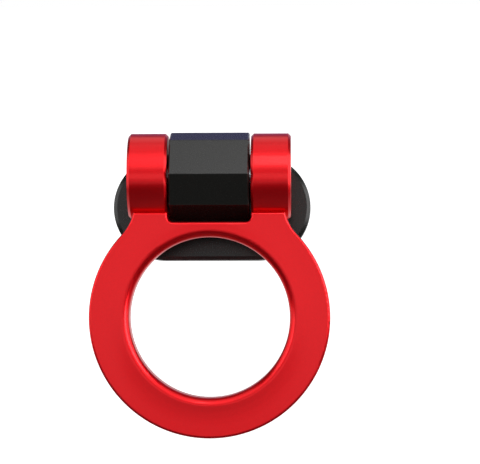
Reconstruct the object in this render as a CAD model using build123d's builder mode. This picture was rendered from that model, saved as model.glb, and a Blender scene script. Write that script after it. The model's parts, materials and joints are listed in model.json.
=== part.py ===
from build123d import *
import os
from math import cos, radians, sin, sqrt

# Folding tow hook: a red ring hinged on a black base that is stuck to a car's bumper.
# Millimetres. +X runs along the hinge pin, +Z is up and -Y points away from the car.
# The origin is the centre of the adhesive pad's back face, which lies in the plane Y = 0.

# Adhesive pad
pad_thickness = 1.0
pad_inset = 1.5

# Base plate
plate_width = 65.0
plate_height = 35.0
plate_thickness = 5.0
plate_chamfer = 1.2
plate_wall = 2.2
plate_skin = 2.2
plate_rib = 1.6

# Hinge lug on the base plate. Four edges of its eight-sided head are placed by their angle above
# level, seen from the side with the front at 0. The other four stand opposite them.
lug_width = 25.7
lug_radius = 14.35
lug_edges = (90, 48, -3, -46)
lug_back = 5.15
lug_facet_fillet = 0.5
lug_end_chamfer = 0.4
lug_foot_margin = 2.7
lug_foot_fillet = 1.0
lug_wall = 2.4
lug_rib = 2.2
pin_cover = 3.0

# Hinge pin
pin_radius = 2.5
pin_recess = 0.8
pin_chamfer = 0.4
pin_running_clearance = 0.05
pin_press = 0.02

# Ring moulding
hinge_rise = 8.4
plate_gap = 0.3
hang_angle = 5.3
ear_width = 12.75
ear_chamfer = 0.8
ear_side_gap = 0.6
barrel_radius = 13.9
notch_gap = 0.4
notch_corner = 1.8
bridge_height = 4.95
eye_radius = 25.8
ring_band = 13.0
ring_thickness = 9.0
eye_fillet = 2.6
lip_width = 6.0
lip_rise = 0.22
lip_steps = 3
shelf_rise = 2.25
neck_inset = 2.2
neck_blend = 15.0
front_fillet = 0.8
back_chamfer = 0.6

# How near a measured place has to be to the one meant
tolerance = 0.001

# Places worked out from the sizes above
plate_front = pad_thickness + plate_thickness
hinge_out = max(plate_front + plate_gap + barrel_radius, pad_thickness + lug_back + lug_radius)
foot_top = plate_height / 2 - lug_foot_margin
foot_bottom = hinge_rise - lug_radius * sin(radians(lug_edges[1]))
ear_inner = lug_width / 2 + ear_side_gap
ear_outer = ear_inner + ear_width
notch_drop = lug_radius + notch_gap
shelf_drop = barrel_radius - shelf_rise
ring_drop = notch_drop + bridge_height + eye_radius
ring_radius = eye_radius + ring_band
neck_half = ear_outer - neck_inset
lip_radius = eye_radius + eye_fillet + lip_width

# Planes: the pin's cross-section, and the ring's own plane with its origin on the hinge axis.
# The ring's plane leans by the angle at which the ring hangs under its own weight.
hinge_axis = Vector(0, -hinge_out, hinge_rise)
lean = radians(hang_angle)
ring_front = Vector(0, -cos(lean), -sin(lean))
ring_up = Vector(0, -sin(lean), cos(lean))
ring_plane = Plane(origin=hinge_axis, x_dir=(1, 0, 0), z_dir=ring_front)
eye_centre = hinge_axis - ring_up * ring_drop
eye_section = Plane(origin=eye_centre, x_dir=(1, 0, 0), z_dir=ring_up * -1)
ring_side = Plane(origin=hinge_axis, x_dir=ring_front, z_dir=(-1, 0, 0))
ring_depth = Axis(hinge_axis, ring_front)


def arcs_of(part, radius):
    """Circular edges of the given radius, from the ring's back to its front."""
    circles = part.edges().filter_by(GeomType.CIRCLE)
    return circles.filter_by(lambda edge: abs(edge.radius - radius) < tolerance).sort_by(ring_depth)


def edges_at(part, low, high):
    """Edges that lie between two distances in front of the ring's back face."""
    return part.edges().filter_by_position(ring_depth, low - tolerance, high + tolerance)


def drop_of(edge):
    """Distance of an edge's middle below the hinge axis, along the ring."""
    return (hinge_axis - edge.center()).dot(ring_up)


# Adhesive pad: foam tape cut to the plate's outline, set in from its edge
with BuildPart() as adhesive_pad:
    with BuildSketch(Plane.XZ):
        SlotOverall(plate_width - 2 * pad_inset, plate_height - 2 * pad_inset)
    extrude(amount=pad_thickness)


# Base: rounded-end plate with an eight-sided hinge lug, moulded in one and cored out from the back
with BuildPart() as base_moulding:
    with BuildSketch(Plane.XZ.offset(pad_thickness)):
        SlotOverall(plate_width, plate_height)
    extrude(amount=plate_thickness)
    plate_front_face = base_moulding.faces().sort_by(Axis.Y)[0]
    chamfer(plate_front_face.edges(), length=plate_chamfer)

    # Lug: the eight-sided head and the foot that carries it, one side profile across its width
    lug_corners = []
    for turn in [*lug_edges, *(angle - 180 for angle in lug_edges)]:
        lug_corners.append((-lug_radius * cos(radians(turn)), lug_radius * sin(radians(turn))))
    with BuildSketch(Plane.YZ.offset(-lug_width / 2)):
        with Locations((-hinge_out, hinge_rise)):
            Polygon(*lug_corners, align=None)
        with Locations((-hinge_out, foot_bottom)):
            Rectangle(hinge_out - pad_thickness, foot_top - foot_bottom, align=(Align.MIN, Align.MIN))
    extrude(amount=lug_width)
    lug_reach = (-hinge_out - lug_radius - tolerance, -plate_front - tolerance)
    across = base_moulding.edges().filter_by(Axis.X)
    fillet(across.filter_by_position(Axis.Y, *lug_reach), radius=lug_facet_fillet)
    ends = base_moulding.faces().filter_by(Axis.X).edges()
    chamfer(ends.filter_by_position(Axis.Y, *lug_reach), length=lug_end_chamfer)
    plate_line = (-plate_front - tolerance, -plate_front + tolerance)
    foot_line = base_moulding.edges().filter_by_position(Axis.Y, *plate_line)
    foot_line = foot_line.filter_by_position(Axis.X, -lug_width / 2 - tolerance, lug_width / 2 + tolerance)
    foot_line = foot_line.filter_by_position(Axis.Z, foot_bottom - tolerance, foot_top + tolerance)
    fillet(foot_line, radius=lug_foot_fillet)

    # Pin bore through the lug
    with BuildSketch(Plane.YZ.offset(-lug_width / 2)):
        with Locations((-hinge_out, hinge_rise)):
            Circle(pin_radius + pin_running_clearance)
    extrude(amount=lug_width, mode=Mode.SUBTRACT)

    # Core slots that reach into the lug from behind, one each side of a middle rib
    slot_width = (lug_width - 2 * lug_wall - lug_rib) / 2
    with BuildSketch(Plane.XZ.offset(pad_thickness)):
        with Locations((0, (foot_top + foot_bottom) / 2)):
            with GridLocations(slot_width + lug_rib, 1, 2, 1):
                Rectangle(slot_width, foot_top - foot_bottom - 2 * lug_wall)
    slot_depth = hinge_out - pin_radius - pin_cover - pad_thickness
    extrude(amount=slot_depth, mode=Mode.SUBTRACT)

    # Shallow cells in the plate's back, between its wall and its ribs
    cell_span = (plate_width - 2 * plate_wall + lug_width) / 2
    with BuildSketch(Plane.XZ.offset(pad_thickness)):
        SlotOverall(plate_width - 2 * plate_wall, plate_height - 2 * plate_wall)
        Rectangle(lug_width, plate_height, mode=Mode.SUBTRACT)
        Rectangle(plate_width, plate_rib, mode=Mode.SUBTRACT)
        with GridLocations(cell_span, 1, 2, 1):
            Rectangle(plate_rib, plate_height, mode=Mode.SUBTRACT)
    extrude(amount=plate_thickness - plate_skin, mode=Mode.SUBTRACT)


# Barrel ears of the ring, one each side of the lug
with BuildPart() as ears:
    for start in (-ear_outer, ear_inner):
        with BuildSketch(Plane.YZ.offset(start)):
            with Locations((-hinge_out, hinge_rise)):
                Circle(barrel_radius)
        extrude(amount=ear_width)
    chamfer(ears.edges().filter_by(GeomType.CIRCLE), length=ear_chamfer)


# Ring: flat band round the eye, widening into a neck that carries the two barrel ears
with BuildPart() as ring_moulding:
    # Outline of the band and neck, up to the hinge axis
    with BuildSketch(ring_plane) as outline:
        with Locations((0, -ring_drop)):
            Circle(ring_radius)
            Rectangle(2 * neck_half, ring_drop, align=(Align.CENTER, Align.MIN))
        shoulder = -ring_drop + sqrt(ring_radius**2 - neck_half**2)
        shoulders = outline.vertices().filter_by_position(Axis.Y, shoulder - tolerance, shoulder + tolerance)
        fillet(shoulders, radius=neck_blend)
        with Locations((0, -ring_drop)):
            Circle(lip_radius, mode=Mode.SUBTRACT)
    extrude(amount=ring_thickness)

    # Inner part of the band, which rises in gentle steps to a lip and rounds over into the eye
    lip_line = []
    for step in range(lip_steps + 1):
        share = step / lip_steps
        lip_line.append((lip_radius - lip_width * share, ring_thickness + lip_rise * share**2))
    with BuildSketch(eye_section):
        with BuildLine():
            eye_front = (eye_radius, ring_thickness + lip_rise - eye_fillet)
            Polyline(*lip_line)
            TangentArc(lip_line[-1], eye_front, tangent=(-1, 0))
            Polyline(eye_front, (eye_radius, back_chamfer), (eye_radius + back_chamfer, 0))
            Polyline((eye_radius + back_chamfer, 0), (lip_radius, 0), lip_line[0])
        make_face()
    revolve(axis=Axis(eye_centre, ring_front))

    # Notch that clears the lug
    with BuildSketch(ring_plane) as notch:
        with Locations((0, -notch_drop)):
            Rectangle(2 * ear_inner, ring_drop, align=(Align.CENTER, Align.MIN))
        fillet(notch.vertices().group_by(Axis.Y)[0], radius=notch_corner)
    extrude(amount=ring_thickness + lip_rise, mode=Mode.SUBTRACT)

    # Rounded front edge along the outline and the notch
    front_edges = edges_at(ring_moulding, ring_thickness, ring_thickness + lip_rise)
    for clear_radius in (lip_radius, eye_radius + eye_fillet):
        front_edges = front_edges - arcs_of(ring_moulding, clear_radius)
    fillet([edge for edge in front_edges if drop_of(edge) > tolerance], radius=front_fillet)

    # Level shelf across the top of the neck, rounded over to the front face
    with BuildSketch(ring_side):
        with BuildLine():
            shelf_edge = (ring_thickness - front_fillet, -shelf_drop)
            face_edge = (ring_thickness, -shelf_drop - front_fillet)
            TangentArc(shelf_edge, face_edge, tangent=(1, 0))
            clear_of_face = 2 * ring_thickness
            Polyline(face_edge, (clear_of_face, face_edge[1]), (clear_of_face, 0), (0, 0))
            Polyline((0, 0), (0, -shelf_drop), shelf_edge)
        make_face()
    extrude(amount=ear_outer, both=True, mode=Mode.SUBTRACT)
    back_edges = edges_at(ring_moulding, 0, 0) - arcs_of(ring_moulding, eye_radius + back_chamfer)
    chamfer([edge for edge in back_edges if drop_of(edge) > shelf_drop + tolerance], length=back_chamfer)

    # Ears and the bores that the pin is pressed into
    add(ears.part)
    with BuildSketch(Plane.YZ.offset(-ear_outer)):
        with Locations((-hinge_out, hinge_rise)):
            Circle(pin_radius - pin_press)
    extrude(amount=2 * ear_outer, mode=Mode.SUBTRACT)


# Hinge pin: pressed into both ears, free to turn in the lug
with BuildPart() as hinge_pin:
    pin_length = 2 * (ear_outer - pin_recess)
    with BuildSketch(Plane.YZ.offset(-pin_length / 2)):
        with Locations((-hinge_out, hinge_rise)):
            Circle(pin_radius)
    extrude(amount=pin_length)
    chamfer(hinge_pin.edges().filter_by(GeomType.CIRCLE), length=pin_chamfer)


adhesive_pad.part.label = "adhesive_pad"
base_moulding.part.label = "base_moulding"
ring_moulding.part.label = "ring_moulding"
hinge_pin.part.label = "hinge_pin"

os.makedirs("parts", exist_ok=True)
export_step(adhesive_pad.part, "parts/adhesive_pad.step")
export_step(base_moulding.part, "parts/base_moulding.step")
export_step(ring_moulding.part, "parts/ring_moulding.step")
export_step(hinge_pin.part, "parts/hinge_pin.step")
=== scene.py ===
import json
from math import cos, pi, radians, sin

import bpy
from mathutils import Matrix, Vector


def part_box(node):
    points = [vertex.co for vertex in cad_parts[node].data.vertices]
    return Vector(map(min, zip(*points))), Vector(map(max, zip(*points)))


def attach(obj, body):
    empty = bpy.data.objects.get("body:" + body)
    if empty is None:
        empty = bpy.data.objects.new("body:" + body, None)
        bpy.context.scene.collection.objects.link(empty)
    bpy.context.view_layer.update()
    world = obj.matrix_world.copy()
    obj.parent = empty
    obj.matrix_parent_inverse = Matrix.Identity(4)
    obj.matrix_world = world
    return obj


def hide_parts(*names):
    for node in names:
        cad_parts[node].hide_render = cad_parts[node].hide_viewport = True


bl_info = {
    "name": "Folding tow hook",
    "version": (1, 0, 0),
    "blender": (4, 5, 0),
    "location": "3D View > Sidebar > Tow Hook",
    "description": "Finishes for a folding tow hook, its foam pad, and a plain studio round it",
    "category": "Object",
}

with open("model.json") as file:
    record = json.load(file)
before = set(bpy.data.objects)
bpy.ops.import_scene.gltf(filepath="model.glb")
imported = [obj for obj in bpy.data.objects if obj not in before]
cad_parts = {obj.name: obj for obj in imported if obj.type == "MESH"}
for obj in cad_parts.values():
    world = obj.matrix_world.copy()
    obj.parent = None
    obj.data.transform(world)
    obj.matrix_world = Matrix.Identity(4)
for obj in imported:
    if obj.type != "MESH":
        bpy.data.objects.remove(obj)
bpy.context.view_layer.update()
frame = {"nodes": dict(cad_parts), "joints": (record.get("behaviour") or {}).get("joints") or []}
nodes = frame["nodes"]
ring_joint = frame["joints"][0]
hinge_axis = Vector(ring_joint["pos_m"])
pad_low, pad_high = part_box("adhesive_pad")
mm = 0.001
white = "ffffff"
cool_white = "a4a4ff"


def linear(hex_colour):
    """Linear RGBA of an sRGB hex colour."""
    channels = [int(hex_colour[i : i + 2], 16) / 255 for i in (0, 2, 4)]
    return [c / 12.92 if c <= 0.04045 else ((c + 0.055) / 1.055) ** 2.4 for c in channels] + [1.0]


def add_node(tree, kind, inputs=None, **settings):
    """Adds a node with its settings. An input is given a value, or another node's output."""
    node = tree.nodes.new(kind)
    for name, value in settings.items():
        setattr(node, name, value)
    for name, value in (inputs or {}).items():
        if isinstance(value, bpy.types.NodeSocket):
            tree.links.new(value, node.inputs[name])
        else:
            node.inputs[name].default_value = value
    return node


def new_material(name):
    """An empty node material, its tree and its output node."""
    material = bpy.data.materials.new(name)
    material.use_nodes = True
    tree = material.node_tree
    tree.nodes.clear()
    return material, tree, add_node(tree, "ShaderNodeOutputMaterial")


def colour_property(name, description, hex_colour):
    """A colour that a user may change."""
    return bpy.props.FloatVectorProperty(
        name=name, description=description, subtype="COLOR", size=4, min=0, max=1, default=linear(hex_colour)
    )


def share_property(name, description, default):
    """A share from 0 to 1."""
    return bpy.props.FloatProperty(
        name=name, description=description, subtype="FACTOR", min=0, max=1, default=default
    )


def length_property(name, description, default):
    """A length in metres, which is Blender's own unit."""
    return bpy.props.FloatProperty(
        name=name, description=description, unit="LENGTH", subtype="DISTANCE", min=0, default=default
    )


def angle_property(name, description, degrees):
    """An angle, given in degrees and kept in radians."""
    return bpy.props.FloatProperty(
        name=name, description=description, subtype="ANGLE", default=radians(degrees)
    )


def level_property(name, description, default):
    """Brightness of a lamp's face, where 1 would show as white."""
    return bpy.props.FloatProperty(name=name, description=description, min=0, default=default)


def direction(azimuth, elevation):
    """Unit vector from the hook: azimuth to its right of straight ahead, elevation above level."""
    return Vector((sin(azimuth) * cos(elevation), -cos(azimuth) * cos(elevation), sin(elevation)))


def choose(piece, wanted):
    """In edit mode, selects only the vertices that pass a test."""
    bpy.ops.mesh.select_all(action="DESELECT")
    bpy.ops.object.mode_set(mode="OBJECT")
    for vertex in piece.data.vertices:
        vertex.select = wanted(vertex)
    bpy.ops.object.mode_set(mode="EDIT")


class HookFinish(bpy.types.PropertyGroup):
    """Colours and gloss of the hook's pieces."""

    ring_colour: colour_property("Ring colour", "Red of the ring's lacquer", "ec0c18")
    ring_metallic: share_property("Ring flake", "How much of the lacquer reflects as metal flake", 0.85)
    ring_roughness: share_property("Ring roughness", "Roughness of the lacquer's flake layer", 0.32)
    ring_coat: share_property("Ring clear coat", "Strength of the lacquer's clear coat", 0.3)
    coat_roughness: share_property("Coat roughness", "Roughness of the lacquer's clear coat", 0.14)
    base_colour: colour_property("Base colour", "Black of the base moulding", "141412")
    base_roughness: share_property("Base roughness", "Roughness of the base moulding", 0.26)
    foam_colour: colour_property("Foam colour", "Grey of the foam pad", "2b2c2d")
    adhesive_colour: colour_property("Adhesive colour", "Grey of the foam under its clear adhesive", "1d1d1c")
    steel_colour: colour_property("Pin colour", "Steel of the hinge pin", "b8bcc0")


class HookFoam(bpy.types.PropertyGroup):
    """Sizes of the foam pad."""

    edge_round: length_property("Edge rounding", "Rounding of the die-cut edges", 0.12 * mm)
    waist: length_property("Waist", "How far the cut edge draws in at half thickness", 0.1 * mm)
    waist_height: share_property("Waist height", "Share of the thickness that stays drawn in", 0.3)
    adhesive_film: length_property("Adhesive film", "Depth to which the back looks wet", 0.06 * mm)


class HookStudio(bpy.types.PropertyGroup):
    """Camera, lamps, floor and backdrop."""

    camera_distance: length_property("Camera distance", "From the lens to the ring's front face", 0.800)
    ring_front: length_property("Ring front", "From the pin's axis forward to the ring's face", 9.0 * mm)
    camera_azimuth: angle_property("Camera azimuth", "Turn of the camera to the hook's right", 1.75)
    camera_elevation: angle_property("Camera elevation", "Rise of the camera above level", -5.5)
    camera_lens: bpy.props.FloatProperty(
        name="Lens", description="Focal length on a 36 mm sensor", unit="CAMERA", default=187.2
    )
    aim_right: length_property("Aim right", "View axis to the right of the hook's middle", 9.7 * mm)
    aim_down: length_property("Aim down", "View axis below the hinge", 18.0 * mm)
    low_level: level_property("Low panel", "Brightness of the panel below the camera", 0.5)
    front_level: level_property("Front panel", "Brightness of the panel behind the camera", 1.12)
    brow_level: level_property("Brow panel", "Brightness of the panel just above the camera", 0.36)
    key_level: level_property("Key softbox", "Brightness of the softbox high in front", 1.1)
    crown_level: level_property("Crown strip", "Brightness of the narrow strip before the key softbox", 3.2)
    top_level: level_property("Top softbox", "Brightness of the softbox over the hook's front", 0.84)
    back_level: level_property("Back softbox", "Brightness of the softbox over the hook's back", 0.75)
    rear_level: level_property("Rear strip", "Brightness of the cool strip above and behind", 0.27)
    fill_level: level_property("Rear fill", "Brightness of the strip just above the backdrop", 0.5)
    left_level: level_property("Left panel", "Brightness of the panel on the left", 1.2)
    right_level: level_property("Right panel", "Brightness of the panel on the right", 2.0)
    corner_level: level_property("Corner softbox", "Brightness of the tall softbox at the right", 3.6)
    strip_level: level_property("Left strip", "Brightness of the narrow strip at the left", 2.4)
    ambient_level: level_property("Room", "Brightness of the room round the lamps", 0.03)
    backdrop_rise: length_property("Backdrop rise", "From the hook's origin up to the backdrop's top", 0.35)
    backdrop_distance: length_property("Backdrop distance", "From the hook back to the backdrop", 1.5)
    backdrop_glow: share_property("Backdrop glow", "Brightness of the backdrop to the camera", 1.0)
    backdrop_mirrored: share_property("Backdrop in gloss", "Share of its glow that gloss shows", 0.55)
    floor_drop: length_property("Floor drop", "From the hook's origin down to the floor", 2.2)
    floor_depth: length_property("Floor depth", "Size of the floor from front to back", 8.0)
    floor_glow: share_property("Floor glow", "Brightness that the camera adds to the lit floor", 0.88)
    floor_mirrored: share_property("Floor in gloss", "Share of its glow that gloss shows", 0.0)
    paper_width: length_property("Paper width", "Size of the floor and backdrop from side to side", 10.0)
    paper_colour: colour_property("Paper colour", "Pale floor and backdrop", "d4d4d4")
    fade_start: length_property("Fade start", "From a sheet's middle to where it starts to whiten", 0.3)
    fade_end: length_property("Fade end", "From a sheet's middle to where it is white", 1.6)


class TOWHOOK_OT_ring_lacquer(bpy.types.Operator):
    """Sprays the ring moulding with red lacquer"""

    bl_idname = "towhook.ring_lacquer"
    bl_label = "Lacquer Ring"

    def execute(self, context):
        finish = context.scene.hook_finish
        # ABS sprayed with red metal-flake lacquer: a deep satin red that brightens where it faces a lamp,
        # under a thin clear coat with a faint orange peel. The flakes are about 0.05 mm across, too fine to
        # show, so they are drawn at 0.4 mm. The spray's uneven depth and its peel are at their real size.
        flake_size = 0.4 * mm
        spray_patch = 14 * mm
        peel_size = 1.6 * mm
        peel_depth = 0.006 * mm
        flake_tint = 0.03
        gloss_spread = 0.02
        material, tree, output = new_material("red_flake_lacquer_on_abs")
        place = add_node(tree, "ShaderNodeTexCoord").outputs["Object"]
        flakes = add_node(tree, "ShaderNodeTexVoronoi", {"Vector": place, "Scale": 1 / flake_size})
        depth = add_node(
            tree, "ShaderNodeTexNoise", {"Vector": place, "Scale": 1 / spray_patch, "Detail": 2.0}
        )
        red = add_node(tree, "ShaderNodeHueSaturation", {"Color": finish.ring_colour})
        tint = add_node(
            tree, "ShaderNodeMapRange",
            {"Value": flakes.outputs["Color"], "To Min": 1 - flake_tint, "To Max": 1 + flake_tint},
        )
        tree.links.new(tint.outputs[0], red.inputs["Value"])
        gloss = add_node(
            tree, "ShaderNodeMapRange",
            {
                "Value": depth.outputs["Fac"],
                "To Min": finish.ring_roughness - gloss_spread,
                "To Max": finish.ring_roughness + gloss_spread,
            },
        )
        peel = add_node(
            tree, "ShaderNodeTexNoise", {"Vector": place, "Scale": 1 / peel_size, "Detail": 1.0}
        )
        relief = add_node(
            tree, "ShaderNodeBump", {"Strength": 0.5, "Distance": peel_depth, "Height": peel.outputs["Fac"]}
        )
        surface = add_node(
            tree, "ShaderNodeBsdfPrincipled",
            {
                "Base Color": red.outputs[0],
                "Metallic": finish.ring_metallic,
                "Roughness": gloss.outputs[0],
                "Coat Weight": finish.ring_coat,
                "Coat Roughness": finish.coat_roughness,
                "Normal": relief.outputs[0],
            },
        )
        tree.links.new(surface.outputs[0], output.inputs["Surface"])
        nodes["ring_moulding"].material_slots[0].material = material
        return {"FINISHED"}


class TOWHOOK_OT_base_plastic(bpy.types.Operator):
    """Gives the base moulding its black plastic"""

    bl_idname = "towhook.base_plastic"
    bl_label = "Finish Base"

    def execute(self, context):
        finish = context.scene.hook_finish
        # Black ABS moulded against a fine spark-eroded tool: an even satin black whose grain softens the
        # highlights, and faint flow patches. The grain is about 0.05 mm wide and is drawn at 0.35 mm to show.
        grain_size = 0.35 * mm
        grain_depth = 0.008 * mm
        flow_patch = 9 * mm
        flow_tint = 0.1
        gloss_spread = 0.05
        abs_ior = 1.53
        material, tree, output = new_material("black_moulded_abs")
        place = add_node(tree, "ShaderNodeTexCoord").outputs["Object"]
        grain = add_node(
            tree, "ShaderNodeTexNoise", {"Vector": place, "Scale": 1 / grain_size, "Detail": 3.0}
        )
        flow = add_node(
            tree, "ShaderNodeTexNoise", {"Vector": place, "Scale": 1 / flow_patch, "Detail": 2.0}
        )
        black = add_node(tree, "ShaderNodeHueSaturation", {"Color": finish.base_colour})
        shade = add_node(
            tree, "ShaderNodeMapRange",
            {"Value": flow.outputs["Fac"], "To Min": 1 - flow_tint, "To Max": 1 + flow_tint},
        )
        tree.links.new(shade.outputs[0], black.inputs["Value"])
        gloss = add_node(
            tree, "ShaderNodeMapRange",
            {
                "Value": grain.outputs["Fac"],
                "To Min": finish.base_roughness - gloss_spread,
                "To Max": finish.base_roughness + gloss_spread,
            },
        )
        relief = add_node(
            tree, "ShaderNodeBump", {"Strength": 0.5, "Distance": grain_depth, "Height": grain.outputs["Fac"]}
        )
        surface = add_node(
            tree, "ShaderNodeBsdfPrincipled",
            {
                "Base Color": black.outputs[0],
                "Roughness": gloss.outputs[0],
                "IOR": abs_ior,
                "Normal": relief.outputs[0],
            },
        )
        tree.links.new(surface.outputs[0], output.inputs["Surface"])
        nodes["base_moulding"].material_slots[0].material = material
        return {"FINISHED"}


class TOWHOOK_OT_steel_pin(bpy.types.Operator):
    """Gives the hinge pin its turned steel"""

    bl_idname = "towhook.steel_pin"
    bl_label = "Finish Pin"

    def execute(self, context):
        finish = context.scene.hook_finish
        # Stainless steel turned on a lathe: bright grey with fine rings round the pin's axis. The feed marks
        # are about 0.08 mm apart and are drawn 0.8 mm apart, so that the end faces show them.
        mark_pitch = 0.8 * mm
        mark_depth = 0.006 * mm
        mark_roughness = (0.22, 0.34)
        wave_radians = 20  # What the wave texture turns through in one unit, at a scale of 1
        material, tree, output = new_material("turned_stainless_steel")
        place = add_node(tree, "ShaderNodeTexCoord").outputs["Object"]
        centred = add_node(tree, "ShaderNodeMapping", {"Vector": place, "Location": -hinge_axis})
        marks = add_node(
            tree, "ShaderNodeTexWave",
            {
                "Vector": centred.outputs[0],
                "Scale": 2 * pi / wave_radians / mark_pitch,
                "Distortion": 0.4,
                "Detail": 1.0,
            },
            wave_type="RINGS", rings_direction="X",
        )
        gloss = add_node(
            tree, "ShaderNodeMapRange",
            {"Value": marks.outputs["Fac"], "To Min": mark_roughness[0], "To Max": mark_roughness[1]},
        )
        relief = add_node(
            tree, "ShaderNodeBump", {"Strength": 0.6, "Distance": mark_depth, "Height": marks.outputs["Fac"]}
        )
        surface = add_node(
            tree, "ShaderNodeBsdfPrincipled",
            {
                "Base Color": finish.steel_colour,
                "Metallic": 1.0,
                "Roughness": gloss.outputs[0],
                "Normal": relief.outputs[0],
            },
        )
        tree.links.new(surface.outputs[0], output.inputs["Surface"])
        nodes["hinge_pin"].material_slots[0].material = material
        return {"FINISHED"}


class TOWHOOK_OT_foam_pad(bpy.types.Operator):
    """Models the die-cut foam pad on the base's back"""

    bl_idname = "towhook.foam_pad"
    bl_label = "Model Foam Pad"

    def execute(self, context):
        foam = context.scene.hook_foam
        size = pad_high - pad_low
        radius = size.z / 2
        outline_vertices = 96
        edge_segments = 3
        cut_angle = radians(50)  # Edges sharper than this are rounded
        smooth_angle = radians(40)  # Edges flatter than this are shaded smooth
        middle_band = radius / 100  # The blank's top and bottom vertices lie inside it and stay
        bpy.ops.object.select_all(action="DESELECT")
        bpy.ops.mesh.primitive_circle_add(
            vertices=outline_vertices, radius=radius, fill_type="NGON",
            location=(0, pad_high.y, 0), rotation=(pi / 2, 0, 0),
        )
        pad = context.object
        pad.name = "foam_pad"
        bpy.ops.object.transform_apply(location=True, rotation=True, scale=True)

        # The round blank is drawn out sideways into the plate's outline
        bpy.ops.object.mode_set(mode="EDIT")
        bpy.ops.mesh.select_mode(type="VERT")
        for side in (-1, 1):
            choose(pad, lambda vertex: vertex.co.x * side > middle_band)
            bpy.ops.transform.translate(value=(side * (size.x / 2 - radius), 0, 0))

        # Three steps through the thickness, with the middle drawn in where the die has squeezed the foam
        bpy.ops.mesh.select_all(action="SELECT")
        slope = (1 - foam.waist_height) / 2
        for reach, draw in ((slope, 1), (foam.waist_height, 0), (slope, -1)):
            bpy.ops.mesh.extrude_region_move(TRANSFORM_OT_translate={"value": (0, -size.y * reach, 0)})
            shrink = 1 - draw * foam.waist / radius
            bpy.ops.transform.resize(value=(shrink, 1, shrink))
        bpy.ops.mesh.select_all(action="SELECT")
        bpy.ops.mesh.normals_make_consistent(inside=False)
        bpy.ops.object.mode_set(mode="OBJECT")

        rounding = pad.modifiers.new("die_cut_edge", "BEVEL")
        rounding.width = foam.edge_round
        rounding.segments = edge_segments
        rounding.limit_method = "ANGLE"
        rounding.angle_limit = cut_angle
        bpy.ops.object.modifier_apply(modifier=rounding.name)
        bpy.ops.object.shade_smooth_by_angle(angle=smooth_angle)
        pad.data.materials.append(self.foam_material(context.scene.hook_finish, foam.adhesive_film))
        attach(pad, "base")
        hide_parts("adhesive_pad")
        return {"FINISHED"}

    def foam_material(self, finish, film_depth):
        """The foam's material, with its adhesive film."""
        # Closed-cell polyethylene foam with an acrylic adhesive film on its back: dull dark grey with small
        # cells on the cut edge, and a smooth wet-looking back. The cells are drawn at 0.5 mm, as they are.
        cell_size = 0.5 * mm
        cell_depth = 0.08 * mm
        foam_roughness, adhesive_roughness = 0.85, 0.3
        acrylic_ior = 1.49
        material, tree, output = new_material("closed_cell_foam_tape")
        place = add_node(tree, "ShaderNodeTexCoord").outputs["Object"]
        cells = add_node(tree, "ShaderNodeTexVoronoi", {"Vector": place, "Scale": 1 / cell_size})
        depth = add_node(tree, "ShaderNodeSeparateXYZ", {"Vector": place}).outputs["Y"]
        film = add_node(
            tree, "ShaderNodeMapRange",
            {"Value": depth, "From Min": pad_high.y - film_depth, "From Max": pad_high.y - film_depth / 3},
        )
        # The Mix node's colour sockets are inputs 6 and 7 and output 2
        colour = add_node(
            tree, "ShaderNodeMix", {0: film.outputs[0], 6: finish.foam_colour, 7: finish.adhesive_colour},
            data_type="RGBA",
        )
        gloss = add_node(
            tree, "ShaderNodeMapRange",
            {"Value": film.outputs[0], "To Min": foam_roughness, "To Max": adhesive_roughness},
        )
        relief = add_node(
            tree, "ShaderNodeBump",
            {"Strength": 0.6, "Distance": cell_depth, "Height": cells.outputs["Distance"]},
        )
        surface = add_node(
            tree, "ShaderNodeBsdfPrincipled",
            {
                "Base Color": colour.outputs[2],
                "Roughness": gloss.outputs[0],
                "IOR": acrylic_ior,
                "Normal": relief.outputs[0],
            },
        )
        tree.links.new(surface.outputs[0], output.inputs["Surface"])
        return material


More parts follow.
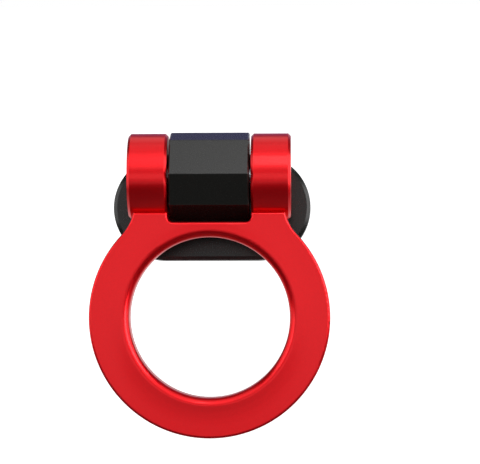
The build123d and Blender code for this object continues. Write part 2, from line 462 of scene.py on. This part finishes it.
class TOWHOOK_OT_studio(bpy.types.Operator):
    """Builds the floor, the backdrop, the lamps and the world"""

    bl_idname = "towhook.studio"
    bl_label = "Build Studio"

    def execute(self, context):
        studio = context.scene.hook_studio
        context.scene.view_settings.view_transform = "Standard"

        # Floor: shows white to the camera, and as pale lit paper to everything else
        self.sheet(
            studio, "studio_floor", "pale_paper_floor", place=(0, 0, -studio.floor_drop), tilt=0,
            depth=studio.floor_depth, glow=studio.floor_glow, mirrored=studio.floor_mirrored,
        )
        # Backdrop behind the hook, far enough back for a camera to go round
        height = studio.floor_drop + studio.backdrop_rise
        self.sheet(
            studio, "studio_backdrop", "white_paper_backdrop",
            place=(0, studio.backdrop_distance, height / 2 - studio.floor_drop), tilt=pi / 2,
            depth=height, glow=studio.backdrop_glow, mirrored=studio.backdrop_mirrored,
        )

        # World: white to the camera, and nearly dark to the hook
        world = bpy.data.worlds.new("studio_world")
        context.scene.world = world
        world.use_nodes = True
        tree = world.node_tree
        tree.nodes.clear()
        path = add_node(tree, "ShaderNodeLightPath")
        room = add_node(
            tree, "ShaderNodeBackground", {"Color": linear(white), "Strength": studio.ambient_level}
        )
        surround = add_node(tree, "ShaderNodeBackground", {"Color": linear(white), "Strength": 1.0})
        mix = add_node(
            tree, "ShaderNodeMixShader",
            {0: path.outputs["Is Camera Ray"], 1: room.outputs[0], 2: surround.outputs[0]},
        )
        add_node(tree, "ShaderNodeOutputWorld", {"Surface": mix.outputs[0]})

        # Lamps by azimuth and elevation in degrees seen from the pin, distance, width and height in metres
        for name, azimuth, elevation, distance, wide, high, level, colour in (
            ("low_panel", 0, -20, 1.2, 1.4, 0.25, studio.low_level, white),
            ("front_panel", 0, -6, 1.2, 1.6, 0.295, studio.front_level, white),
            ("brow_panel", 0, 7.5, 1.2, 1.6, 0.276, studio.brow_level, white),
            ("key_softbox", 0, 38, 1.0, 1.4, 0.89, studio.key_level, white),
            ("crown_strip", 2, 36, 0.95, 0.1, 0.44, studio.crown_level, white),
            ("top_softbox", 0, 78, 0.8, 1.2, 0.42, studio.top_level, white),
            ("back_softbox", 0, 110, 0.8, 1.2, 0.42, studio.back_level, white),
            ("rear_strip", 0, 145, 0.9, 1.0, 0.45, studio.rear_level, cool_white),
            ("left_panel", -74, 10, 1.0, 1.4, 0.8, studio.left_level, white),
            ("right_panel", 74, 10, 1.0, 1.4, 0.8, studio.right_level, white),
            ("corner_softbox", 60, 11, 0.9, 0.35, 1.0, studio.corner_level, white),
            ("left_strip", -52, 8, 1.0, 0.16, 0.6, studio.strip_level, white),
            ("rear_fill", 0, 160, 0.9, 1.2, 0.2, studio.fill_level, white),
        ):
            data = bpy.data.lights.new(name, "AREA")
            data.shape = "RECTANGLE"
            data.size, data.size_y = wide, high
            data.color = linear(colour)[:3]
            # The power that makes the lamp's face as bright as its level
            data.energy = level * pi * wide * high
            away = direction(radians(azimuth), radians(elevation))
            lamp = bpy.data.objects.new(name, data)
            lamp.location = hinge_axis + away * distance
            lamp.rotation_mode = "QUATERNION"
            lamp.rotation_quaternion = away.to_track_quat("Z", "Y")
            lamp.visible_camera = False
            context.scene.collection.objects.link(lamp)
        return {"FINISHED"}

    def sheet(self, studio, name, material_name, place, tilt, depth, glow, mirrored):
        """One sheet of studio paper that glows to the camera, and by a share of that in the hook's gloss."""
        bpy.ops.object.select_all(action="DESELECT")
        bpy.ops.mesh.primitive_plane_add(size=1, location=place, rotation=(tilt, 0, 0))
        paper = bpy.context.object
        paper.name = name
        paper.scale = (studio.paper_width, depth, 1)
        bpy.ops.object.transform_apply(location=True, rotation=True, scale=True)
        material, tree, output = new_material(material_name)
        path = add_node(tree, "ShaderNodeLightPath")
        gloss = add_node(
            tree, "ShaderNodeMath",
            {0: path.outputs["Is Glossy Ray"], 1: path.outputs["Is Transmission Ray"]}, operation="MAXIMUM",
        )
        dimmed = add_node(
            tree, "ShaderNodeMath", {0: gloss.outputs[0], 1: mirrored}, operation="MULTIPLY"
        )
        seen = add_node(
            tree, "ShaderNodeMath", {0: path.outputs["Is Camera Ray"], 1: dimmed.outputs[0]},
            operation="MAXIMUM",
        )
        # Beyond the lamps' reach the paper turns white, so that no edge of it shows
        spot = add_node(tree, "ShaderNodeTexCoord").outputs["Object"]
        away = add_node(tree, "ShaderNodeVectorMath", {0: spot, 1: place}, operation="DISTANCE")
        fade = add_node(
            tree, "ShaderNodeMapRange",
            {
                "Value": away.outputs["Value"],
                "From Min": studio.fade_start,
                "From Max": studio.fade_end,
                "To Min": glow,
            },
        )
        level = add_node(
            tree, "ShaderNodeMath", {0: seen.outputs[0], 1: fade.outputs[0]}, operation="MULTIPLY"
        )
        plain = add_node(tree, "ShaderNodeBsdfDiffuse", {"Color": studio.paper_colour})
        light = add_node(tree, "ShaderNodeEmission", {"Strength": level.outputs[0]})
        both = add_node(tree, "ShaderNodeAddShader", {0: plain.outputs[0], 1: light.outputs[0]})
        tree.links.new(both.outputs[0], output.inputs["Surface"])
        paper.data.materials.append(material)


class TOWHOOK_OT_camera(bpy.types.Operator):
    """Places the camera at the photograph's viewing angle"""

    bl_idname = "towhook.camera"
    bl_label = "Place Camera"

    def execute(self, context):
        studio = context.scene.hook_studio
        back = direction(studio.camera_azimuth, studio.camera_elevation)
        right = Vector((cos(studio.camera_azimuth), sin(studio.camera_azimuth), 0))
        up = back.cross(right)
        aim = hinge_axis + right * studio.aim_right - up * studio.aim_down
        data = bpy.data.cameras.new("photo_camera")
        data.lens = studio.camera_lens
        camera = bpy.data.objects.new("photo_camera", data)
        camera.location = aim + back * (studio.camera_distance + studio.ring_front)
        camera.rotation_mode = "QUATERNION"
        camera.rotation_quaternion = back.to_track_quat("Z", "Y")
        context.scene.collection.objects.link(camera)
        context.scene.camera = camera
        return {"FINISHED"}


operators = (
    TOWHOOK_OT_ring_lacquer,
    TOWHOOK_OT_base_plastic,
    TOWHOOK_OT_steel_pin,
    TOWHOOK_OT_foam_pad,
    TOWHOOK_OT_studio,
    TOWHOOK_OT_camera,
)


class TOWHOOK_PT_panel(bpy.types.Panel):
    """Lists the hook's pieces, its studio and their settings"""

    bl_idname = "TOWHOOK_PT_panel"
    bl_label = "Folding Tow Hook"
    bl_space_type = "VIEW_3D"
    bl_region_type = "UI"
    bl_category = "Tow Hook"

    def draw(self, context):
        scene = context.scene
        for group in (scene.hook_finish, scene.hook_foam, scene.hook_studio):
            box = self.layout.box()
            for name in group.bl_rna.properties.keys():
                if name not in ("rna_type", "name"):
                    box.prop(group, name)
        for operator in operators:
            self.layout.operator(operator.bl_idname)


classes = (HookFinish, HookFoam, HookStudio, *operators, TOWHOOK_PT_panel)


def register():
    for cls in classes:
        bpy.utils.register_class(cls)
    bpy.types.Scene.hook_finish = bpy.props.PointerProperty(type=HookFinish)
    bpy.types.Scene.hook_foam = bpy.props.PointerProperty(type=HookFoam)
    bpy.types.Scene.hook_studio = bpy.props.PointerProperty(type=HookStudio)


def unregister():
    del bpy.types.Scene.hook_studio
    del bpy.types.Scene.hook_foam
    del bpy.types.Scene.hook_finish
    for cls in reversed(classes):
        bpy.utils.unregister_class(cls)


def main():
    register()
    bpy.ops.towhook.ring_lacquer()
    bpy.ops.towhook.base_plastic()
    bpy.ops.towhook.steel_pin()
    bpy.ops.towhook.foam_pad()
    bpy.ops.towhook.studio()
    bpy.ops.towhook.camera()


if __name__ == "__main__":
    main()
